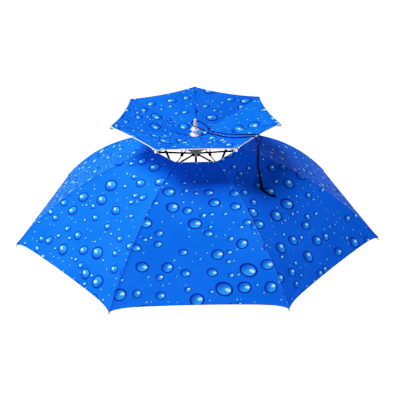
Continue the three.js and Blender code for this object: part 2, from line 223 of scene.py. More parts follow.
# Printed cloth: drops of three sizes, set out at random in the flat cut of each gore
print("finishes")
drops = {
    "ground": ("0a78f4", "1480fa"), "patches": 9,
    "deep": "0e66e4", "bright": "30b0fe", "rim": "0622a8",
    "lit": (-0.75, 0.5), "rimReach": (0.7, 0.86), "endReach": (0.95, 1.08),  # in a drop's own radii
    "fan": {"x": 0.3, "y": 0.05, "flatX": 1.4, "flatY": 5, "reach": (0.1, 0.7), "share": 0.4,
            "colour": "74d0fb"},
    "spark": {"x": 0.44, "y": 0.06, "flatX": 0.7, "flatY": 1.3, "core": 0.55},
    "clear": (1.08, 1.2),  # room round a larger drop, in its radii and in the smaller one's
    "room": 0.86,  # share of its cell's room that a drop may fill
    "few": 1.4,  # above 1, a layer has fewer large drops than small ones
    "turn": 0.9, "wide": 1.1, "wideSpread": 0.24,
    "layers": [  # largest first; a drop keeps clear of the larger ones
        {"cell": 47 * mm, "small": 7.5 * mm, "large": 14.5 * mm, "share": 0.86, "seed": 3.1,
         "scatter": 0.72, "glint": 0.31, "shine": "d0f4fe", "edge": 1.0},
        {"cell": 28 * mm, "small": 3.6 * mm, "large": 7.5 * mm, "share": 0.5, "seed": 11.7,
         "scatter": 0.8, "glint": 0.38, "shine": "d8f6fe", "edge": 1.0},
        {"cell": 17 * mm, "small": 1.9 * mm, "large": 3.4 * mm, "share": 0.46, "seed": 23.9,
         "scatter": 0.9, "glint": 0.5, "shine": "a4e2f8", "edge": 0.7},
    ],
}
stitching = {
    "pitch": 2.6 * mm, "length": 0.62, "thread": 0.5 * mm, "fromSeam": 2.4 * mm, "fromHem": 5 * mm,
    "core": 0.4, "end": 0.8,  # of the thread's thickness
}
# Painted shade in a band beside each seam, and a painted line along the seam: a highlight on the wide
# canopy, shade on the small one
seamShadeAndHighlight = {
    "fold": (2.6 * mm, 3.4 * mm, 4.6 * mm), "foldColour": "0438bc",
    "line": (0.9 * mm, 2 * mm), "seamLineShadeAndHighlight": ("0438b8", "3a94fc"), "share": 0.35,
}
weave = {"threads": 900, "creases": 24}  # to the metre


def nearestDrop(f, where, layer):  # of one layer: centre, radius, distance in radii, and place in it
    seed, cell = layer["seed"], layer["cell"]
    shift = (seed, seed * 0.7, 0)
    moved = f.vector("ADD", where, shift)
    values = {"Vector": moved, "Scale": 1 / cell, "Randomness": layer["scatter"]}
    flat = {"voronoi_dimensions": "2D"}
    random, centre = f.node("TexVoronoi", flat | {"feature": "F1"}, values, ["Color", "Position"])
    room = f.node("TexVoronoi", flat | {"feature": "N_SPHERE_RADIUS"}, values, "Radius") * cell
    pick = f.node("SeparateColor", {}, [random], [0, 1, 2])
    radius = layer["small"] + (pick[0] ** drops["few"]) * (layer["large"] - layer["small"])
    radius = radius.math("MINIMUM", room * drops["room"])
    away = f.vector("SUBTRACT", moved, centre)
    away = f.node("VectorRotate", {"rotation_type": "Z_AXIS"},
                  {"Vector": away, "Angle": (pick[2] - 0.5) * drops["turn"]})
    x, y, _ = f.split(away)
    x, y = x / (radius * (drops["wide"] + (pick[2] - 0.5) * drops["wideSpread"])), y / radius
    reach = (x * x + y * y) ** 0.5
    present = pick[1] < layer["share"]
    return f.vector("SUBTRACT", centre, shift), radius, reach, present, x, y


def fromLight(x, y, c):  # reach from a light's place in the drop
    return ((x - c["x"]) * (x - c["x"]) * c["flatX"] + (y - c["y"]) * (y - c["y"]) * c["flatY"]) ** 0.5


def printedCloth():
    f = Finish("printedCloth", Specular_IOR_Level=0.012)
    cut = f.flat("cut")
    patch = f.noise(cut, drops["patches"], 2)
    colour = f.blend(f.ramp(patch, 0.3, 0.7), printed(drops["ground"][0]), printed(drops["ground"][1]))
    layers, fan = drops["layers"], drops["fan"]
    for rank in range(len(layers) - 1, -1, -1):
        layer = layers[rank]
        centre, radius, reach, present, x, y = nearestDrop(f, cut, layer)
        for larger in layers[:rank]:
            _, otherRadius, otherReach, otherPresent, _, _ = nearestDrop(f, centre, larger)
            clear = drops["clear"][0] + radius / otherRadius * drops["clear"][1]
            crowded = (otherReach < clear) * otherPresent
            present = present * (1 - crowded)
        body = f.ramp(x * 0.7 - y * 0.6, *drops["lit"])
        body = f.blend(body, printed(drops["deep"]), printed(drops["bright"]))
        glow = 1 - f.ramp(fromLight(x, y, fan), *fan["reach"])
        body = f.blend(glow * fan["share"], body, printed(fan["colour"]))
        core = layer["glint"] * drops["spark"]["core"]
        spark = 1 - f.ramp(fromLight(x, y, drops["spark"]), core, layer["glint"])
        body = f.blend(spark, body, printed(layer["shine"]))
        body = f.blend(f.ramp(reach, *drops["rimReach"]) * layer["edge"], body, printed(drops["rim"]))
        inside = (1 - f.ramp(reach, *drops["endReach"])) * present
        colour = f.blend(inside, colour, body)
    u, t, _ = f.split(cut)
    fromSeam, fromHem, _ = f.split(f.flat("edges"))
    thread, lines, seamPaint = 0, stitching, seamShadeAndHighlight
    for away, along in ((abs(fromSeam - lines["fromSeam"]), t), (abs(fromHem - lines["fromHem"]), u)):
        row = 1 - f.ramp(away, lines["thread"] * lines["core"], lines["thread"] * lines["end"])
        dash = abs((along / lines["pitch"]).math("FRACT") - 0.5) < lines["length"] / 2
        thread = row * dash + thread
    colour = f.blend(thread * 0.5, colour, printed("0440b4"))
    # painted shade in a band beside each seam
    fold = f.ramp(fromSeam, *seamPaint["fold"][:2]) - f.ramp(fromSeam, *seamPaint["fold"][1:])
    colour = f.blend(fold * seamPaint["share"], colour, printed(seamPaint["foldColour"]))
    # per gore: the share of its colour kept (painted shade), and whether its seam line is a painted
    # highlight or painted shade
    goreShade, seamHighlight, _ = f.split(f.flat("goreShade"))
    # a painted line along each seam: highlight on the wide canopy, shade on the small one
    line = 1 - f.ramp(fromSeam, *seamPaint["line"])
    dark, light = [printed(code) for code in seamPaint["seamLineShadeAndHighlight"]]
    colour = f.blend(line * seamPaint["share"], colour, f.blend(seamHighlight, dark, light))
    # each gore's colour darkened by its listed share: painted shade
    f.set(Base_Color=f.blend(goreShade, (0, 0, 0, 1), colour))
    threads = f.wave(cut, weave["threads"], "X", 0.4) * f.wave(cut, weave["threads"], "Y", 0.4)
    creases = f.noise(cut, weave["creases"])
    soft = f.bump(creases, 0.6 * mm, 0.35, f.bump(threads, 0.08 * mm, 0.1))
    f.set(Normal=f.bump(thread, 0.25 * mm, 0.6, soft), Roughness=0.74 + 0.1 * creases)
    return f.material


def coatedInside(name, dull, clear):
    f = Finish(name, Specular_IOR_Level=0.3)
    here = f.spot()
    cloudy = f.noise(here, 30, 4)
    f.set(Base_Color=f.blend(f.ramp(cloudy, 0.3, 0.7), tint(dull), tint(clear)))
    grain = f.noise(here, 700, 2)
    f.set(Roughness=0.42 + 0.15 * cloudy,
          Normal=f.bump(f.noise(here, 60), 0.5 * mm, 0.3, f.bump(grain, 0.05 * mm, 0.4)))
    return f.material


def blackSteel():
    f = Finish("blackSteel", Specular_IOR_Level=0.04)
    here = f.spot()
    worn = f.ramp(f.noise(here, 260, 4, 0.6), 0.62, 0.74)
    f.set(Base_Color=f.blend(worn, tint("010101"), tint("060607")))
    f.set(Roughness=0.38 + 0.2 * worn)
    f.set(Normal=f.bump(f.noise(here, 900, 2), 0.05 * mm, 0.3))
    return f.material


def platedMetal():
    f = Finish("platedMetal", Specular_IOR_Level=0.5)
    here = f.spot()
    dull = f.ramp(f.noise(here, 340), 0.45, 0.7)
    f.set(Base_Color=f.blend(dull, tint("b9b3a6"), tint("8d877b")))
    f.set(Roughness=0.28 + 0.25 * dull, Metallic=0.9, Normal=f.bump(dull, 0.04 * mm, 0.3))
    return f.material


def hemCloth():
    f = Finish("hemCloth", Specular_IOR_Level=0.03)
    here = f.spot()
    threads = f.noise(here, 500)
    f.set(Base_Color=f.blend(threads, printed("0850cc"), printed("0a70ee")))
    f.set(Roughness=0.58 + 0.12 * threads, Normal=f.bump(threads, 0.1 * mm, 0.5))
    return f.material


def hubPlastic():
    f = Finish("hubPlastic", Specular_IOR_Level=0.45)
    here = f.spot()
    f.set(Base_Color=f.blend(f.ramp(f.noise(here, 120), 0.35, 0.65), tint("4c575f"), tint("5f6a73")))
    f.set(Roughness=0.42 + 0.1 * f.noise(here, 300, 2))
    f.set(Normal=f.bump(f.noise(here, 700, 2), 0.04 * mm, 0.3))
    return f.material


def whitePlastic():
    f = Finish("whitePlastic", Specular_IOR_Level=0.5, Subsurface_Weight=1.0, Subsurface_Scale=0.009,
               Subsurface_Radius=(1, 1, 1), Coat_Roughness=0.15)
    here = f.spot()
    f.set(Base_Color=f.blend(f.ramp(f.noise(here, 90, 2), 0.35, 0.65), tint("eceff6"), tint("f7f8fb")))
    f.set(Roughness=0.3 + 0.08 * f.noise(here, 400, 2), Coat_Weight=0.3)
    f.set(Normal=f.bump(f.noise(here, 500, 2), 0.03 * mm, 0.25))
    return f.material


def wovenBand():
    f = Finish("wovenBand", Sheen_Weight=0.05, Sheen_Roughness=0.5, Specular_IOR_Level=0.08)
    here = f.spot()
    rows = f.wave(here, 160, "Z", 0.6)
    lint = f.noise(here, 420)
    f.set(Base_Color=f.blend(rows * 0.6 + lint * 0.4, tint("050506"), tint("121214")))
    f.set(Roughness=0.8 + 0.12 * lint, Normal=f.bump(rows + 0.5 * lint, 0.3 * mm, 0.6))
    return f.material


def sewingThread():
    f = Finish("sewingThread", Sheen_Weight=0.05, Specular_IOR_Level=0.1)
    ply = f.wave(f.spot(), 1400, "DIAGONAL", 0.5)
    f.set(Base_Color=f.blend(ply, tint("101012"), tint("202024")))
    f.set(Roughness=0.7 + 0.1 * ply, Normal=f.bump(ply, 0.05 * mm, 0.5))
    return f.material


def braidedCord():
    f = Finish("braidedCord", Specular_IOR_Level=0.06)
    strands = f.node("TexVoronoi", {}, {"Vector": f.spot(), "Scale": 1300})
    f.set(Base_Color=f.blend(strands, tint("08080a"), tint("010101")))
    f.set(Roughness=0.78 + 0.1 * strands, Normal=f.bump(strands, 0.15 * mm, 0.7))
    return f.material


finishes = {
    "print": printedCloth(),
    "inside": coatedInside("coatedInside", "f2f3f7", "ffffff"),
    # a darker copy of the same coated inside: painted shade for the small canopy's underside and hem
    "silver": coatedInside("coatedInsideShaded", "c6cad2", "d6dae0"),
    "steel": blackSteel(), "plated": platedMetal(),
    "hub": hubPlastic(), "white": whitePlastic(), "band": wovenBand(), "thread": sewingThread(),
    "cord": braidedCord(), "hemBlue": hemCloth(),
}


# Shapes: what the pieces below share
def addPiece(name, data, finish, slot, *nodes):
    piece = bpy.data.objects.new(name, data)
    bpy.context.scene.collection.objects.link(piece)
    for one in finish if isinstance(finish, list) else [finish]:
        data.materials.append(finishes[one])
    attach(piece, "root")
    if nodes:
        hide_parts(*nodes)
    return piece


def meshFrom(bm, name, crease=None):  # edges sharper than crease, in degrees, stay sharp
    for face in bm.faces:
        face.smooth = True
    mesh = bpy.data.meshes.new(name)
    bm.to_mesh(mesh)
    bm.free()
    if crease:
        mesh.set_sharp_from_angle(angle=math.radians(crease))
    return mesh


def addTo(whole, bm):
    mesh = meshFrom(bm, "part")
    whole.from_mesh(mesh)
    bpy.data.meshes.remove(mesh)


def joined(*parts):  # each part with the number of the finish that it takes
    whole = bmesh.new()
    for bm, number in parts:
        bmesh.ops.recalc_face_normals(bm, faces=bm.faces)
        for face in bm.faces:
            face.material_index = number
        addTo(whole, bm)
    return whole


def moved(bm, matrix):
    bmesh.ops.transform(bm, matrix=matrix, verts=bm.verts)
    return bm


def spun(profile, steps, closed=False):  # turned about Z from pairs of radius and height
    bm = bmesh.new()
    verts = [bm.verts.new((r, 0, z)) for r, z in profile]
    pairs = list(zip(verts, verts[1:])) + ([(verts[-1], verts[0])] if closed else [])
    edges = [bm.edges.new(pair) for pair in pairs]
    bmesh.ops.spin(bm, geom=verts + edges, cent=(0, 0, 0), axis=(0, 0, 1), angle=2 * math.pi,
                   steps=steps, use_merge=True)
    bmesh.ops.remove_doubles(bm, verts=bm.verts, dist=0.002 * mm)
    bmesh.ops.recalc_face_normals(bm, faces=bm.faces)
    return bm


def wireRing(radius, wire, steps=32, sides=8):
    turns = [2 * math.pi * i / sides for i in range(sides)]
    return spun([(radius + wire * math.cos(a), wire * math.sin(a)) for a in turns], steps, True)


def curved(points, steps):  # rounds a profile through its points
    dense = []
    for i in range(len(points) - 1):
        around = [Vector(points[clamp(j, 0, len(points) - 1)]) for j in (i - 1, i, i + 1, i + 2)]
        a, b, c, d = around
        for k in range(steps):
            s = k / steps
            dense.append(0.5 * ((2 * b) + (c - a) * s + (2 * a - 5 * b + 4 * c - d) * s * s
                                + (3 * b - a - 3 * c + d) * s ** 3))
    return [(max(p[0], 0), p[1]) for p in dense] + [tuple(points[-1])]


def frameOf(point, ahead, side=Vector((0, 1, 0))):
    ahead = ahead.normalized()
    above = ahead.cross(side).normalized()
    side = above.cross(ahead)
    return Matrix.Translation(point) @ Matrix((side, above, ahead)).transposed().to_4x4()


def framesAlong(points, side=Vector((0, 1, 0))):
    last = len(points) - 1
    return [frameOf(p, points[min(i + 1, last)] - points[max(i - 1, 0)], side)
            for i, p in enumerate(points)]


def swept(section, frames):  # a closed section, as x and y pairs, drawn through the frames
    bm = bmesh.new()
    verts = [bm.verts.new(frames[0] @ Vector((x, y, 0))) for x, y in section]
    edges = [bm.edges.new(pair) for pair in zip(verts, verts[1:] + verts[:1])]
    first = list(edges)
    for before, after in zip(frames, frames[1:]):
        made = bmesh.ops.extrude_edge_only(bm, edges=edges)["geom"]
        fresh = {g for g in made if isinstance(g, bmesh.types.BMVert)}
        edges = [g for g in made if isinstance(g, bmesh.types.BMEdge) and fresh.issuperset(g.verts)]
        bmesh.ops.transform(bm, matrix=after @ before.inverted(), verts=list(fresh))
    for ring in (first, edges):
        bmesh.ops.contextual_create(bm, geom=ring)
    bmesh.ops.recalc_face_normals(bm, faces=bm.faces)
    return bm


def mirrored(half):  # a turned profile from its upper half
    return [(r, -z) for r, z in reversed(half)] + half


def downhill(slope):
    return Vector((math.cos(slope), 0, -math.sin(slope)))


def ribTurn(number, size=4):  # from +X to a rib; a half is the middle of a gore
    return Matrix.Rotation(math.pi / 2 + number * ribStep, size, "Z")


def roundSection(radius, sides):
    turns = [2 * math.pi * (i + 0.5) / sides for i in range(sides)]
    return [(radius * math.cos(a), radius * math.sin(a)) for a in turns]


def flatSection(width, thickness, corner):
    w, t, c = width / 2, thickness / 2, corner
    half = [(w, c - t), (w, t - c), (w - c, t), (c - w, t)]
    return half + [(-x, -y) for x, y in half]


def channelSection(width, height, wall, web):  # a U that opens downwards
    w, h = width / 2, height / 2
    return [(w, -h), (w, h), (-w, h), (-w, -h), (wall - w, -h), (wall - w, h - web),
            (w - wall, h - web), (w - wall, -h)]


def carved(bm, cutter):
    whole, tool = [bpy.data.objects.new("carve", meshFrom(b, "carve")) for b in (bm, cutter)]
    for one in (whole, tool):
        bpy.context.scene.collection.objects.link(one)
    cutting = whole.modifiers.new("carve", "BOOLEAN")
    cutting.operation, cutting.solver, cutting.object = "DIFFERENCE", "EXACT", tool
    bpy.context.view_layer.update()
    mesh = bpy.data.meshes.new_from_object(whole.evaluated_get(bpy.context.evaluated_depsgraph_get()))
    left = bmesh.new()
    left.from_mesh(mesh)
    for one in (whole, tool):
        old = one.data
        bpy.data.objects.remove(one)
        bpy.data.meshes.remove(old)
    bpy.data.meshes.remove(mesh)
    return left


def aroundHat(stem, nodeStem, bm, finish, slot, crease=35):
    for i, node in enumerate(nodesNamed(nodeStem)):
        name = f"{stem}_{i + 1}"
        addPiece(name, meshFrom(moved(bm.copy(), ribTurn(i)), name, crease), finish, slot, node)
    bm.free()


def upright(r, z):  # a point of a rib's own plane
    return Vector((r, 0, z + hat["lift"]))


# Wide canopy: one sheet of seven gores, drawn over the ribs, with a vent in its crown
wideCanopy = {
    "spread": 385 * mm, "ventRadius": 93 * mm, "ventHeight": 180 * mm, "bend": 612 * mm,
    "sag": 5 * mm, "scallop": 4 * mm, "ear": 7 * mm, "cloth": 0.45 * mm,
    "across": 44, "along": 72,
    "seamRidge": 1.3 * mm, "seamWidth": 3.2 * mm, "hemDepth": 6 * mm, "hemRise": 0.35 * mm,
    "flow": 1.3 * mm, "fan": 0.8 * mm,
    # the last entry of the next line makes the painted seam line a highlight
    "flips": [1, 1, -1, 1, 1, -1, -1], "seed": 4.0, "seamHighlight": 1,
    "goreShades": [1, 1, 1, 1, 1, 1, 1],  # share of its colour that each gore keeps: painted shade standing in for the weave's sheen and the shade on that gore
}
chord = math.hypot(wideCanopy["spread"] - wideCanopy["ventRadius"], wideCanopy["ventHeight"])
chordAngle = math.atan2(wideCanopy["ventHeight"], wideCanopy["spread"] - wideCanopy["ventRadius"])
halfBend = math.asin(chord / 2 / wideCanopy["bend"])
ventAngle, hemAngle = chordAngle - halfBend, chordAngle + halfBend
bendCentre = (wideCanopy["ventRadius"] - wideCanopy["bend"] * math.sin(ventAngle),
              wideCanopy["ventHeight"] - wideCanopy["bend"] * math.cos(ventAngle))


def onBend(angle, inset=0.0):
    reach = wideCanopy["bend"] - inset
    return bendCentre[0] + reach * math.sin(angle), bendCentre[1] + reach * math.cos(angle)


def wideSeam(along, side):
    drawnIn = wideCanopy["scallop"] * (1 - side ** 2) + wideCanopy["ear"] * (1 - side ** 12)
    angle = ventAngle + along * (hemAngle - ventAngle - drawnIn / wideCanopy["bend"])
    r, z = onBend(angle)
    return r, z, angle, wideCanopy["bend"] * (angle - ventAngle)


# Small canopy: flat under the finial, then rising to its seven corners
smallCanopy = {
    "spread": 176 * mm, "centre": 202 * mm, "rise": 39 * mm, "scallop": 6 * mm,
    "flat": 11.7 * mm, "hole": 4.2 * mm, "sag": 0.0, "cloth": 0.45 * mm,
    "across": 32, "along": 44,
    "seamRidge": 0.8 * mm, "seamWidth": 2 * mm, "hemDepth": 5 * mm, "hemRise": 0.25 * mm,
    "flow": 0.7 * mm, "fan": 0.4 * mm,
    # the last entry of the next line makes the painted seam line shade
    "flips": [1, 1, -1, 1, 1, -1, 1], "seed": 9.0, "seamHighlight": 0,
    # painted shade: each gore's colour darkened by the share below
    "goreShades": [0.94, 0.9, 0.9, 0.9, 0.9, 0.94, 0.69],
}
smallSlope = math.atan2(smallCanopy["rise"], smallCanopy["spread"] - smallCanopy["flat"])


def smallSeam(along, side):
    reach = smallCanopy["spread"] - smallCanopy["scallop"] * (1 - side ** 2)
    r = mix(smallCanopy["hole"], reach, along)
    rise = max(r - smallCanopy["flat"], 0) * math.tan(smallSlope)
    slope = -smallSlope if r > smallCanopy["flat"] else 0.0
    return r, smallCanopy["centre"] + rise, slope, r / math.cos(smallSlope)


# Cord: two strands from the finial's hole, over the small canopy's hem and through the knot. Points are
# in mm; one that names a canopy lies on it there.
cord = {
    "diameter": 2.3 * mm,
    "spacing": 2.7,  # between the strands where they run side by side
    "knotRadius": 3.6,
    "fullness": 1.02,  # the tube's flats lie inside its radius
    "lengths": {"right": 334 * mm, "left": 357 * mm},
    "right": [(0.3, 0, 232.9), (2.4, 0, 232.9), (4.6, 0, 232.9), (10.3, 0, 231.6), (18.7, 0, 225),
              (27.3, 0, 216.5), (32.4, -1, 211.9), (37, -4.4, 210.6), (43.5, -11, "small"),
              (56, -29, "small"), (72, -48, "small"), (96, -69, "small"), (109.5, -80, "small"),
              (117, -87.6, "small"), (119.8, -90.4, "small"), (123.2, -93.4, 241.3),
              (125.6, -95, 238.2), (126, -95.5, 226), (125, -96, 217.5)],
    "left": [(-0.3, 0, 232.9), (-2.4, 0, 232.9), (-4.6, 0, 232.9), (-7.2, -2, 231.4), (-5.5, -6.5, 227),
             (1.5, -7.5, 223.5), (8, -6.5, 219.5), (16.8, -4.5, 213.6), (27.5, -4.5, 208.1),
             (32.5, -11.5, 208.9), (37.5, -19, "small"), (50, -44, "small"), (65, -66, "small"),
             (82, -84, "small"), (96, -90, "small"), (107.5, -98, "small"), (111.5, -101.8, "small"),
             (115, -105.2, 241.5), (117.2, -106, 238), (119, -104, 232), (121, -101, 222)],
    "joined": [(123, -96.5, 206), (122.5, -96, 190), (123, -96, 174), (125.3, -96.2, 161),
               (127.6, -98.5, "wide"), (128.6, -108.5, "wide"), (129.2, -118, "wide")],
    "knot": (129.6, -127.2, "wide"),
    "tail": [(138.4, -129.4, "wide"), (146.6, -131.4, "wide"), (156.6, -128.4, "wide")],
    "knotSize": 1.0 * mm,  # of one unit of the knot's loops
    "knotWire": 0.98 * mm,
    "knotPoints": 40,
    "knotTilts": (0.0, 1.05), "knotLean": 0.5, "knotDepth": 1.4,
    "drawn": 0.35,  # how near the strands come inside the knot
}


def clothHeight(x, y, canopy):  # of the cloth's outer face, and its slope
    turn = math.atan2(x, -y)
    side = turn - round(turn / ribStep) * ribStep
    r = math.hypot(x, y) * math.cos(side) / math.cos(halfStep)
    if canopy == "small":
        return smallCanopy["centre"] + max(r - smallCanopy["flat"], 0) * math.tan(smallSlope), smallSlope
    slope = math.asin((r - bendCentre[0]) / wideCanopy["bend"])
    along = max(slope - ventAngle, 0) / (hemAngle - ventAngle)
    across = math.tan(side) / math.tan(halfStep)
    hang = wideCanopy["sag"] * math.sin(math.pi * along) * (1 - across ** 2)
    return onBend(slope)[1] - hang / math.cos(slope), slope


def cordPoint(point, radius, aside=(0, 0)):
    x, y, z = (point[0] + aside[0]) * mm, (point[1] + aside[1]) * mm, point[2]
    if isinstance(z, str):
        height, slope = clothHeight(x, y, z)
        return Vector((x, y, height + (radius + hat["gap"]) / math.cos(slope) + hat["lift"]))
    return Vector((x, y, z * mm + hat["lift"]))


def cordCurve(name, loops, radius, closed=False):
    data = bpy.data.curves.new(name, "CURVE")
    data.dimensions = "3D"
    data.bevel_depth = radius
    data.bevel_resolution = 3
    data.resolution_u = 6
    data.use_fill_caps = True
    for points in loops:
        line = data.splines.new("BEZIER")
        line.bezier_points.add(len(points) - 1)
        line.use_cyclic_u = closed
        for point, place in zip(line.bezier_points, points):
            point.co = place
            point.handle_left_type = point.handle_right_type = "AUTO"
    return data


def makeKnot(c):  # an overhand knot in both strands, drawn tight
    low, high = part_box("cord_knot")
    centre = (Vector(low) + Vector(high)) / 2
    loops = []
    for tilt in c["knotTilts"]:
        lean = Matrix.Rotation(tilt, 3, "Z") @ Matrix.Rotation(c["knotLean"] + tilt, 3, "X")
        turns = [2 * math.pi * i / c["knotPoints"] for i in range(c["knotPoints"])]
        loops.append([centre + lean @ Vector((math.sin(a) + 2 * math.sin(2 * a),
                                              math.cos(a) - 2 * math.cos(2 * a),
                                              -c["knotDepth"] * math.sin(3 * a))) * c["knotSize"]
                      for a in turns])
    return addPiece("cordKnot", cordCurve("cordKnot", loops, c["knotWire"], True), "cord", "cord",
                    "cord_knot")


def makeCords(c):
    knot, radius = makeKnot(c), c["diameter"] / 2
    middle = cordPoint(c["knot"], c["knotRadius"] * mm)
    for side, sign in (("right", 1), ("left", -1)):
        shift = sign * c["spacing"] / 2
        points = [cordPoint(point, radius) for point in c[side]]
        points += [cordPoint(point, radius, (shift, 0)) for point in c["joined"]]
        points.append(middle + Vector((shift, shift, 0)) * c["drawn"] * mm)
        points += [cordPoint(point, radius, (0, shift)) for point in c["tail"]]
        curve = cordCurve("cord_" + side, [points], radius * c["fullness"])
        nodes = ["cord_strand_" + side, "cord_tail_" + side]
        strand = addPiece("cord_" + side, curve, "cord", "cord", *nodes)
        print("cord", side)


makeCords(cord)


drape = {
    "across": 26, "along": 11,  # bends of the loose cloth to the metre
    "held": 8,  # the higher, the narrower the strip that the ribs hold still
    "folds": 11, "foldReach": 45 * mm, "foldWidth": 35 * mm,  # fan of folds from each corner
    "printShift": (0.37, 0.53),  # from gore to gore
}


def makeCanopy(name, seam, c, inside, nodes):
    whole = bmesh.new()
    uvNames = ("cut", "edges", "goreShade")
    for layer in uvNames:
        whole.loops.layers.uv.new(layer)
    for gore in range(hat["ribs"]):
        bm = bmesh.new()
        bmesh.ops.create_grid(bm, x_segments=c["across"], y_segments=c["along"], size=1)
        cutLayer, edgeLayer, goreShadeLayer = [bm.loops.layers.uv.new(layer) for layer in uvNames]
        cuts, edges = {}, {}
        for v in bm.verts:
            side = math.sin(v.co.x * math.pi / 2)
            along = 0.5 + 0.5 * math.sin(v.co.y * math.pi / 2)
            r, z, slope, reach = seam(along, side)
            half = r * math.sin(halfStep)
            fromSeam = (1 - abs(side)) * half
            fromHem = seam(1, side)[3] - reach
            free = 1 - side ** drape["held"]
            hang = c["sag"] * math.sin(math.pi * along) * (1 - side * side)
            lift = c["seamRidge"] * math.exp(-(fromSeam / c["seamWidth"]) ** 2)
            lift += c["hemRise"] * (1 - smooth(c["hemDepth"] * 0.85, c["hemDepth"] * 1.15, fromHem))
            flow = noise.noise(Vector((side * half * drape["across"], reach * drape["along"],
                                       c["seed"] + gore)))
            lift += c["flow"] * flow * free * math.sin(math.pi * clamp(along, 0.02, 0.98))
            corner = math.hypot(fromSeam, fromHem)
            fan = math.sin(math.atan2(fromSeam, fromHem + 1e-6) * drape["folds"] + gore)
            near = (corner - drape["foldReach"]) / drape["foldWidth"]
            lift += c["fan"] * fan * math.exp(-near ** 2) * free
            depth = hang - lift
            x, y = r * math.cos(halfStep), side * half
            bearing = math.atan2(y, x)
            inward = depth * math.sin(slope)
            cuts[v.index], edges[v.index] = (side * half, reach), (fromSeam, fromHem)
            v.co = Vector((x - inward * math.cos(bearing), y - inward * math.sin(bearing),
                           z - depth * math.cos(slope) + hat["lift"]))
        flip, shift = c["flips"][gore], drape["printShift"]
        for face in bm.faces:
            for loop in face.loops:
                u, t = cuts[loop.vert.index]
                loop[cutLayer].uv = (flip * u + gore * shift[0] + c["seed"], -flip * t + gore * shift[1])
                loop[edgeLayer].uv = edges[loop.vert.index]
                # the gore's painted shade, and whether its seam line is a painted highlight
                loop[goreShadeLayer].uv = (c["goreShades"][gore], c["seamHighlight"])
        moved(bm, ribTurn(gore + 0.5))
        addTo(whole, bm)
    bmesh.ops.remove_doubles(whole, verts=whole.verts, dist=0.02 * mm)
    bmesh.ops.recalc_face_normals(whole, faces=whole.faces)
    if sum(face.normal.z for face in whole.faces) < 0:
        bmesh.ops.reverse_faces(whole, faces=whole.faces)
    area = sum(face.calc_area() for face in whole.faces)
    piece = addPiece(name, meshFrom(whole, name), ["print", inside], "canopy", *nodes)
    wall = piece.modifiers.new("cloth", "SOLIDIFY")
    wall.thickness, wall.offset = c["cloth"], -1
    wall.use_even_offset = False
    wall.material_offset, wall.material_offset_rim = 1, 1
    print(name, "area", round(area, 4))
    return piece, area


# Bindings: the edge of a canopy turned over; the small canopy's hem and the vent show the coated side, the
# wide hem blue cloth
bindings = {
    "smallHem": {"along": 1, "radius": 0.6 * mm, "drop": 0.45 * mm, "out": 0.1 * mm},
    "wideHem": {"along": 1, "radius": 0.5 * mm, "drop": 0.3 * mm, "out": 0.1 * mm},
    "ventHem": {"along": 0, "radius": 0.6 * mm, "drop": 0.3 * mm, "out": -0.2 * mm},
    "points": 24,
}


def makeBinding(name, seam, c, finish):
    points = []
    for gore in range(hat["ribs"]):
        turn = ribTurn(gore + 0.5, 3)
        for k in range(bindings["points"]):
            side = math.sin((2 * k / bindings["points"] - 1) * math.pi / 2)
            r, z, _, _ = seam(c["along"], side)
            place = Vector((r * math.cos(halfStep), side * r * math.sin(halfStep), 0))
            place += place.normalized() * c["out"] + Vector((0, 0, z - c["drop"] + hat["lift"]))
            points.append(turn @ place)
    data = cordCurve(name, [points], c["radius"], True)
    data.bevel_resolution, data.resolution_u = 2, 1
    return addPiece(name, data, finish, "canopy")


wide, wideArea = makeCanopy("wideCanopy", wideSeam, wideCanopy, "inside", nodesNamed("main_gore"))
# the small canopy's underside and hem take the darker copy of the coated inside, painted shade
small, smallArea = makeCanopy("smallCanopy", smallSeam, smallCanopy, "silver", nodesNamed("top_gore"))
smallHem = makeBinding("smallHem", smallSeam, bindings["smallHem"], "silver")
wideHem = makeBinding("wideHem", wideSeam, bindings["wideHem"], "hemBlue")
ventHem = makeBinding("ventHem", wideSeam, bindings["ventHem"], "inside")


# Main ribs: bent rods under the seams, with a plated ball and ferrule at the floor
mainRib = {
    "radius": 1.5 * mm, "sides": 12, "bends": 36, "thread": 0.3 * mm,
    "ball": 2.1 * mm, "ballReach": 2.8 * mm, "ferrule": 7 * mm, "ferruleWall": 0.3 * mm,
    "ties": [0.12, 0.4, 0.68, 0.94],  # where the cloth is tied down, along the bend
    "tieHalf": 0.5 * mm, "worn": 0.02 * mm,
}
tieSeat = 0.7  # how far a thread stands out of the rod, in its own radii
ridgeFall = math.atan(math.tan(halfStep) * math.sin(hemAngle))
ribInset = (hat["cloth"] + hat["gap"] + mainRib["radius"]) / math.cos(ridgeFall)
ribVent = onBend(ventAngle, ribInset)
ribTip = onBend(hemAngle, ribInset)
ribEnd = (ribTip[0] + mainRib["ballReach"] * math.cos(hemAngle),
          ribTip[1] - mainRib["ballReach"] * math.sin(hemAngle))
innerSlope = math.atan2(hat["pivotHeight"] - ribVent[1], ribVent[0] - hat["pivotRadius"])


def ribHeight(r):
    if r < ribVent[0]:
        return hat["pivotHeight"] - (r - hat["pivotRadius"]) * math.tan(innerSlope)
    return bendCentre[1] + math.sqrt((wideCanopy["bend"] - ribInset) ** 2 - (r - bendCentre[0]) ** 2)


def tie(c, place):  # a thread round a rod
    return moved(wireRing(c["radius"] + c["thread"] * tieSeat, c["thread"], 14, 6), place)


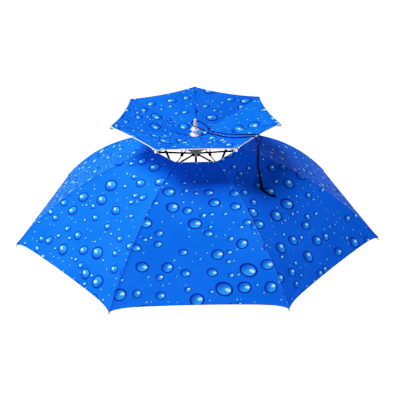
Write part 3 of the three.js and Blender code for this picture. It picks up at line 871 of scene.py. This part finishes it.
def makeMainRibs(c):
    angles = [mix(ventAngle, hemAngle, i / c["bends"]) for i in range(c["bends"] + 1)]
    path = [upright(hat["pivotRadius"], hat["pivotHeight"])]
    path += [upright(*onBend(angle, ribInset)) for angle in angles] + [upright(*ribEnd)]
    rod = swept(roundSection(c["radius"], c["sides"]), framesAlong(path))
    ball = bmesh.new()
    bmesh.ops.create_uvsphere(ball, u_segments=20, v_segments=12, radius=c["ball"])
    moved(ball, Matrix.Translation(upright(*ribEnd)))
    for v in ball.verts:
        v.co.z = max(v.co.z, c["worn"])  # worn flat on the floor
    end, tip = upright(*ribEnd), upright(*ribTip)
    back = end + (tip - end).normalized() * c["ferrule"]
    sleeve = swept(roundSection(c["radius"] + c["ferruleWall"], c["sides"] + 4), framesAlong([back, end]))
    parts = [(rod, 0), (ball, 1), (sleeve, 1)]
    for share in c["ties"]:
        angle = mix(ventAngle, hemAngle, share)
        for shift in (-c["tieHalf"], c["tieHalf"]):
            at = upright(*onBend(angle + shift / wideCanopy["bend"], ribInset))
            parts.append((tie(c, frameOf(at, downhill(angle))), 2))
    aroundHat("mainRib", "main_rib", joined(*parts), ["steel", "plated", "thread"], "frame")


# Stretchers: folded channels from the runner up to a clip under each main rib
stretcher = {
    "width": 3.2 * mm, "depth": 3.6 * mm, "wall": 0.6 * mm, "bevel": 0.25 * mm,
    "runnerDrop": 33 * mm, "joint": 90 * mm, "clip": 6 * mm, "clipWall": 1 * mm,
    "clipRise": 1.6, "clipBevel": 0.3 * mm,  # rise in radii of the rib
    "pin": 0.75 * mm, "pinHead": 1.25 * mm, "headEdge": 0.35 * mm, "headRise": 0.5 * mm,
    "headTop": 0.7, "pinLift": 0.6 * mm,
}
clipWidth = 2 * (mainRib["radius"] + hat["gap"] + stretcher["clipWall"])
clipHeight = stretcher["clipRise"] * mainRib["radius"] + hat["gap"] + stretcher["clipWall"]
runnerHeight = hat["pivotHeight"] - stretcher["runnerDrop"]


def bar(section, start, end, bevel):
    across = Vector((0, -1, 0))
    bm = swept(section, framesAlong([start, end], across))
    bmesh.ops.bevel(bm, geom=list(bm.edges), offset=bevel, segments=2, profile=0.5, affect="EDGES",
                    material=-1, clamp_overlap=True)
    return bm


def clip(r, opening):  # a folded clip round a main rib; opening is 1 upwards and -1 downwards
    closed = mainRib["radius"] + hat["gap"] + stretcher["clipWall"] - clipHeight / 2
    at = upright(r, ribHeight(r) - opening * closed)
    ahead = downhill(innerSlope) * stretcher["clip"] / 2
    section = channelSection(clipWidth, clipHeight, stretcher["clipWall"], stretcher["clipWall"])
    if opening > 0:
        section = [(x, -y) for x, y in reversed(section)]
    return bar(section, at - ahead, at + ahead, stretcher["clipBevel"])


def rivet(at, length, c):
    half = [(c["pin"], length / 2), (c["pinHead"], length / 2),
            (c["pinHead"] * c["headTop"], length / 2 + c["headEdge"]), (0, length / 2 + c["headRise"])]
    place = Matrix.Translation(at) @ Matrix.Rotation(math.pi / 2, 4, "X")
    return moved(spun(mirrored(half), 16), place)


def makeStretchers(c):
    outer = ribHeight(c["joint"]) - mainRib["radius"] - hat["gap"] - c["depth"] / 2
    start, end = upright(hat["pivotRadius"], runnerHeight), upright(c["joint"], outer)
    channel = bar(channelSection(c["width"], c["depth"], c["wall"], c["wall"]), start, end, c["bevel"])
    parts = [(channel, 0), (clip(c["joint"], 1), 0),
             (rivet(upright(c["joint"], outer + c["pinLift"]), clipWidth, c), 1)]
    aroundHat("stretcher", "stretcher", joined(*parts), ["steel", "plated"], "frame", 30)


# Small canopy's ribs: straight rods on short posts that are clipped to the main ribs
topRib = {
    "radius": 1.5 * mm, "post": 1.4 * mm, "postReach": 65 * mm, "sides": 12,
    "collar": 2.2 * mm, "collarHeight": 2.4 * mm, "collarEnd": 0.8, "collarStraight": 0.5,
    "ties": [0.35, 0.7, 0.93], "thread": 0.28 * mm,
}
capSize = {
    "radius": 2.5 * mm, "length": 11 * mm, "nose": 3.6 * mm, "bore": topRib["radius"] + hat["gap"],
    "outside": [(0.84, 0.0), (0.93, 0.02), (0.98, 0.07), (1.0, 0.14), (1.0, 0.62), (0.97, 0.78),
                (0.86, 0.89), (0.6, 0.965), (0.3, 0.99), (0.0, 1.0)],  # shares of radius and length
    "thread": 0.22 * mm, "threadSeat": 0.99, "threadPlace": 0.45,
}
flatRib = smallCanopy["centre"] - hat["cloth"] - hat["gap"] - topRib["radius"]
capHeight = smallCanopy["centre"] + smallCanopy["rise"] - hat["cloth"] - hat["gap"] - capSize["radius"]
topSlope = math.atan2(capHeight - flatRib, smallCanopy["spread"] - smallCanopy["flat"])


def topHeight(r):
    return flatRib + (r - smallCanopy["flat"]) * math.tan(topSlope)


def makeTopRibs(c):
    inner, outer = hat["pivotRadius"], smallCanopy["spread"]
    along = [upright(r, topHeight(r)) for r in (inner, outer)]
    rod = swept(roundSection(c["radius"], c["sides"]), framesAlong(along))
    foot = ribHeight(c["postReach"]) + mainRib["radius"] + 2 * hat["gap"]
    head = topHeight(c["postReach"])
    stand = [upright(c["postReach"], z) for z in (foot, head)]
    post = swept(roundSection(c["post"], c["sides"]), framesAlong(stand))
    parts = [(rod, 0), (post, 0), (clip(c["postReach"], -1), 0)]
    for z in (foot + c["collarHeight"] / 2, head - c["radius"] - c["collarHeight"] / 2):
        top = c["collarHeight"] / 2
        half = [(c["collar"], top * c["collarStraight"]), (c["collar"] * c["collarEnd"], top), (0, top)]
        place = Matrix.Translation(upright(c["postReach"], z))
        parts.append((moved(spun(mirrored(half), 20), place), 0))
    for share in c["ties"]:
        r = mix(smallCanopy["flat"], outer, share)
        parts.append((tie(c, frameOf(upright(r, topHeight(r)), along[1] - along[0])), 1))
    aroundHat("topRib", "top_rib", joined(*parts), ["steel", "thread"], "frame")


# White caps on the small canopy's corners
def makeCaps(c):
    back = c["nose"] - c["length"]
    profile = [(0, hat["gap"]), (c["bore"], hat["gap"]), (c["bore"], back)]
    profile += [(r * c["radius"], back + z * c["length"]) for r, z in c["outside"]]
    at = upright(smallCanopy["spread"], topHeight(smallCanopy["spread"]))
    place = Matrix.Translation((0, 0, back * c["threadPlace"]))
    thread = moved(wireRing(c["radius"] * c["threadSeat"], c["thread"], 24, 6), place)
    cap = moved(joined((spun(profile, 28), 0), (thread, 1)), frameOf(at, downhill(-topSlope)))
    aroundHat("tipCap", "top_cap", cap, ["white", "thread"], "finial")


# Finial: a turned white knob with a cross hole for the cord
finial = {
    "foot": smallCanopy["centre"] + hat["gap"], "height": 35.4 * mm, "socket": 9 * mm, "bore": 3.7 * mm,
    "hole": 1.5 * mm, "holeShare": 0.865, "drill": 30 * mm, "rounding": 5, "steps": 64,
    "profile": [(11.2, 0), (11.4, 0.04), (10.6, 0.08), (7.4, 0.13), (6.8, 0.21), (9, 0.32), (9, 0.37),
                (6.2, 0.47), (5.1, 0.56), (4.1, 0.7), (3.4, 0.85), (2.5, 0.94), (1.4, 0.985), (0, 1)],
}


def makeFinial(c):
    foot = c["foot"] + hat["lift"]
    outside = curved([(r * mm, foot + share * c["height"]) for r, share in c["profile"]],
                     c["rounding"])
    inside = [(0, foot + c["socket"]), (c["bore"], foot + c["socket"]), (c["bore"], foot)]
    body = spun(inside + outside, c["steps"])
    drill = bmesh.new()
    place = Matrix.Translation((0, 0, foot + c["holeShare"] * c["height"]))
    place = place @ Matrix.Rotation(math.pi / 2, 4, "Y")
    bmesh.ops.create_cone(drill, cap_ends=True, segments=24, radius1=c["hole"], radius2=c["hole"],
                          depth=c["drill"], matrix=place)
    addPiece("finialKnob", meshFrom(carved(body, drill), "finialKnob", 40), "white", "finial", "finial")


# Hubs: a slotted notch under the finial and a slotted runner below it, on a short shaft
hubs = {
    "shaft": 3.4 * mm, "shaftEdge": 0.4 * mm, "steps": 56,
    "slotWidth": 3.8 * mm, "slotFloor": 5.5 * mm, "slotReach": 30 * mm, "wire": 0.4 * mm,
    "notch": [(3.7, 190.6), (11, 190.6), (11.9, 190.9), (12.4, 191.5), (12.5, 192.1), (12.5, 199.7),
              (12.2, 200.4), (11.5, 200.7), (3.7, 200.7)],
    "notchRadius": 12.5 * mm, "slotTop": 203,
    "runner": [(0, 155), (6.8, 155), (7.3, 155.4), (10.6, 159.9), (10.8, 160.4), (10.8, 165.4),
               (10.4, 165.9), (10.4, 166.5), (10.8, 167), (10.8, 167.8), (10.4, 168.3), (10.4, 168.9),
               (10.8, 169.4), (10.8, 172), (10.5, 172.7), (9.8, 173), (3.7, 173), (3.7, 160.2), (0, 160.2)],
    "runnerSlot": (159.6, 164.4),
    "shaftEnds": (160.5, 211),
}


def makeHub(name, profile, slotEnds, wireHeight, closed, node, c):
    lifted = [(r * mm, z * mm + hat["lift"]) for r, z in profile]
    body = spun(lifted, c["steps"], closed)
    cutter = bmesh.new()
    low, high = slotEnds
    reach = c["slotReach"]
    middle = Matrix.Translation((c["slotFloor"] + reach / 2, 0, (low + high) / 2 * mm + hat["lift"]))
    size = Matrix.Diagonal((reach, c["slotWidth"], (high - low) * mm, 1))
    for i in range(hat["ribs"]):
        bmesh.ops.create_cube(cutter, size=1, matrix=ribTurn(i) @ middle @ size)
    wire = moved(wireRing(hat["pivotRadius"], c["wire"], c["steps"]),
                 Matrix.Translation((0, 0, wireHeight + hat["lift"])))
    hub = joined((carved(body, cutter), 0), (wire, 1))
    addPiece(name, meshFrom(hub, name, 35), ["hub", "plated"], "hub", node)


def makeHubs(c):
    fall = (c["notchRadius"] - hat["pivotRadius"]) * math.tan(innerSlope)
    slotFoot = (hat["pivotHeight"] - fall - mainRib["radius"] - hat["gap"]) / mm
    makeHub("notchHub", c["notch"], (slotFoot, c["slotTop"]), hat["pivotHeight"], True, "notch", c)
    makeHub("runnerHub", c["runner"], c["runnerSlot"], runnerHeight, False, "runner", c)
    low, high = [z * mm + hat["lift"] for z in c["shaftEnds"]]
    edge = c["shaftEdge"]
    profile = [(0, low), (c["shaft"] - edge, low), (c["shaft"], low + edge), (c["shaft"], high - edge),
               (c["shaft"] - edge, high), (0, high)]
    addPiece("shaftTube", meshFrom(spun(profile, 40), "shaftTube", 35), "steel", "frame", "shaft")


# Headband: ribbed elastic, and seven straps that hang it from the main ribs
headband = {
    "radius": 86 * mm, "thickness": 2 * mm, "top": 60 * mm, "height": 32 * mm,
    "ribs": 9, "ribSteps": 4, "ribDepth": 0.3 * mm, "steps": 196,
    "ripple": 0.35 * mm, "around": 9, "upwards": 20, "inwards": 0.6,
    "strapWidth": 6 * mm, "strapThickness": 1.2 * mm, "outset": 6 * mm, "lap": 20 * mm,
    "swings": [0, -25, -12, 0, 0, 12, 25],  # degrees round the band from each strap's own rib
    "hangSteps": 10, "lapSteps": 8, "strapEdge": 0.25 * mm,
    "loopHalf": 2.6 * mm, "loopSkin": (0.15 * mm, 0.55 * mm),  # inside and outside of the loop on the rib
    "stitch": 0.3 * mm, "stitchLength": 1.1 * mm, "stitchRows": 6, "stitchTop": 2.5 * mm,
    "stitchPitch": 3 * mm, "stitchAside": 1.9 * mm,
}


def makeHeadband(c):
    bottom, outer, steps = c["top"] - c["height"], c["radius"] + c["thickness"], c["ribs"] * c["ribSteps"]
    heights = [bottom + c["height"] * i / steps for i in range(steps + 1)]
    turns = [2 * math.pi * i / c["ribSteps"] for i in range(steps + 1)]
    groove = [c["ribDepth"] * (0.5 - 0.5 * math.cos(turn)) for turn in turns]
    outside = [(outer - g, z + hat["lift"]) for g, z in zip(groove, heights)]
    inside = [(c["radius"] + g, z + hat["lift"]) for g, z in zip(groove, heights)]
    band = spun(outside + inside[::-1], c["steps"], True)
    for v in band.verts:
        bearing = math.atan2(v.co.y, v.co.x)
        wave = noise.noise(Vector((math.cos(bearing) * c["around"], math.sin(bearing) * c["around"],
                                   v.co.z * c["upwards"])))
        push = c["ripple"] * (wave - c["inwards"])
        v.co.x += push * math.cos(bearing)
        v.co.y += push * math.sin(bearing)
    addPiece("headBand", meshFrom(band, "headBand", 60), "band", "webbing", "headband")


def makeStraps(c):
    seat = c["radius"] + c["thickness"] + hat["gap"] + c["strapThickness"] / 2
    topReach = wideCanopy["ventRadius"] + c["outset"]
    hang = upright(topReach, ribHeight(topReach) - mainRib["radius"] - 3 * hat["gap"])
    for i, (node, swing) in enumerate(zip(nodesNamed("band_strap"), c["swings"])):
        swing = math.radians(swing)
        bearing = Vector((math.cos(swing), math.sin(swing), 0))
        side = Vector((-math.sin(swing), math.cos(swing), 0))
        bend = bearing * seat + Vector((0, 0, c["top"] + c["strapWidth"] + hat["lift"]))
        foot = bearing * seat + Vector((0, 0, c["top"] - c["lap"] + hat["lift"]))
        path = [hang.lerp(bend, k / c["hangSteps"]) for k in range(c["hangSteps"])]
        path += [bend.lerp(foot, k / c["lapSteps"]) for k in range(c["lapSteps"] + 1)]
        last = len(path) - 1
        frames = []
        for k, point in enumerate(path):
            ahead = path[min(k + 1, last)] - path[max(k - 1, 0)]
            turned = Vector((0, 1, 0)).lerp(side, clamp(k / c["hangSteps"]))
            frames.append(frameOf(point, ahead, turned))
        band = swept(flatSection(c["strapWidth"], c["strapThickness"], c["strapEdge"]), frames)
        parts = [(band, 0)]
        slope = math.asin((topReach - bendCentre[0]) / (wideCanopy["bend"] - ribInset))
        inner, outer = [mainRib["radius"] + skin for skin in c["loopSkin"]]
        loop = [(inner, -c["loopHalf"]), (outer, -c["loopHalf"]), (outer, c["loopHalf"]),
                (inner, c["loopHalf"])]
        at = upright(topReach, ribHeight(topReach))
        parts.append((moved(spun(loop, 20, True), frameOf(at, downhill(slope))), 0))
        for row in range(c["stitchRows"]):
            down = c["stitchTop"] + row * c["stitchPitch"]
            for across in (-c["stitchAside"], c["stitchAside"]):
                place = (bearing * (seat + c["strapThickness"] / 2) + side * across
                         + Vector((0, 0, c["top"] - down + hat["lift"])))
                stitch = bmesh.new()
                bmesh.ops.create_uvsphere(stitch, u_segments=8, v_segments=5, radius=1)
                size = Matrix.Diagonal((c["stitch"], c["stitch"], c["stitchLength"], 1))
                parts.append((moved(stitch, Matrix.Translation(place) @ size), 1))
        strap = moved(joined(*parts), ribTurn(i))
        name = f"bandStrap_{i + 1}"
        addPiece(name, meshFrom(strap, name, 40), ["band", "thread"], "webbing", node)


makeMainRibs(mainRib)
makeStretchers(stretcher)
makeTopRibs(topRib)
makeCaps(capSize)
print("ribs made")
makeFinial(finial)
makeHubs(hubs)
makeHeadband(headband)
makeStraps(headband)
print("hubs, band and straps made")

# Studio: white glowing floor, its glow dimmed under the hat as painted shade, a soft key light high on the
# left, a weak one on the right
studio = {
    "floor": 12.0, "floorGlow": 1.0, "paintedShadeGlow": 0.4, "shade": (0.27, 0.335), "world": 0.015,
    "grey": 0.05, "aim": 0.12,
    "lights": [  # place, size, power
        ((-1.49, 0.02, 2.60), 1.5, 95),
        ((1.9, 1.0, 0.9), 1.0, 4),
    ],
}


def makeStudio(c):
    bm = bmesh.new()
    bmesh.ops.create_grid(bm, x_segments=1, y_segments=1, size=c["floor"])
    floor = bpy.data.objects.new("floor", meshFrom(bm, "floor"))
    bpy.context.scene.collection.objects.link(floor)
    under, around, grey = [(glow, glow, glow, 1) for glow in (c["paintedShadeGlow"], c["floorGlow"], c["grey"])]
    f = Finish("paleFloor", Base_Color=grey, Roughness=0.9, Specular_IOR_Level=0.0, Emission_Strength=1.0)
    x, y, _ = f.split(f.spot())
    # the floor's glow is lower under the hat: painted shade
    f.set(Emission_Color=f.blend(f.ramp((x * x + y * y) ** 0.5, *c["shade"]), under, around))
    floor.data.materials.append(f.material)
    world = bpy.data.worlds.new("studio")
    world.use_nodes = True
    sky = world.node_tree.nodes["Background"].inputs
    sky[0].default_value, sky[1].default_value = (1, 1, 1, 1), c["world"]
    bpy.context.scene.world = world
    for place, size, power in c["lights"]:
        data = bpy.data.lights.new("softbox", "AREA")
        data.size, data.energy = size, power
        lamp = bpy.data.objects.new("softbox", data)
        lamp.location = place
        towards = Vector((0, 0, c["aim"])) - Vector(place)
        lamp.rotation_euler = towards.to_track_quat("-Z", "Y").to_euler()
        bpy.context.scene.collection.objects.link(lamp)
    view = bpy.context.scene.view_settings
    view.view_transform = "Standard"
    view.use_curve_mapping = True
    for stop in film["stops"]:
        view.curve_mapping.curves[3].points.new(stop, filmed(stop))
    view.curve_mapping.update()


makeStudio(studio)
print("studio lit")
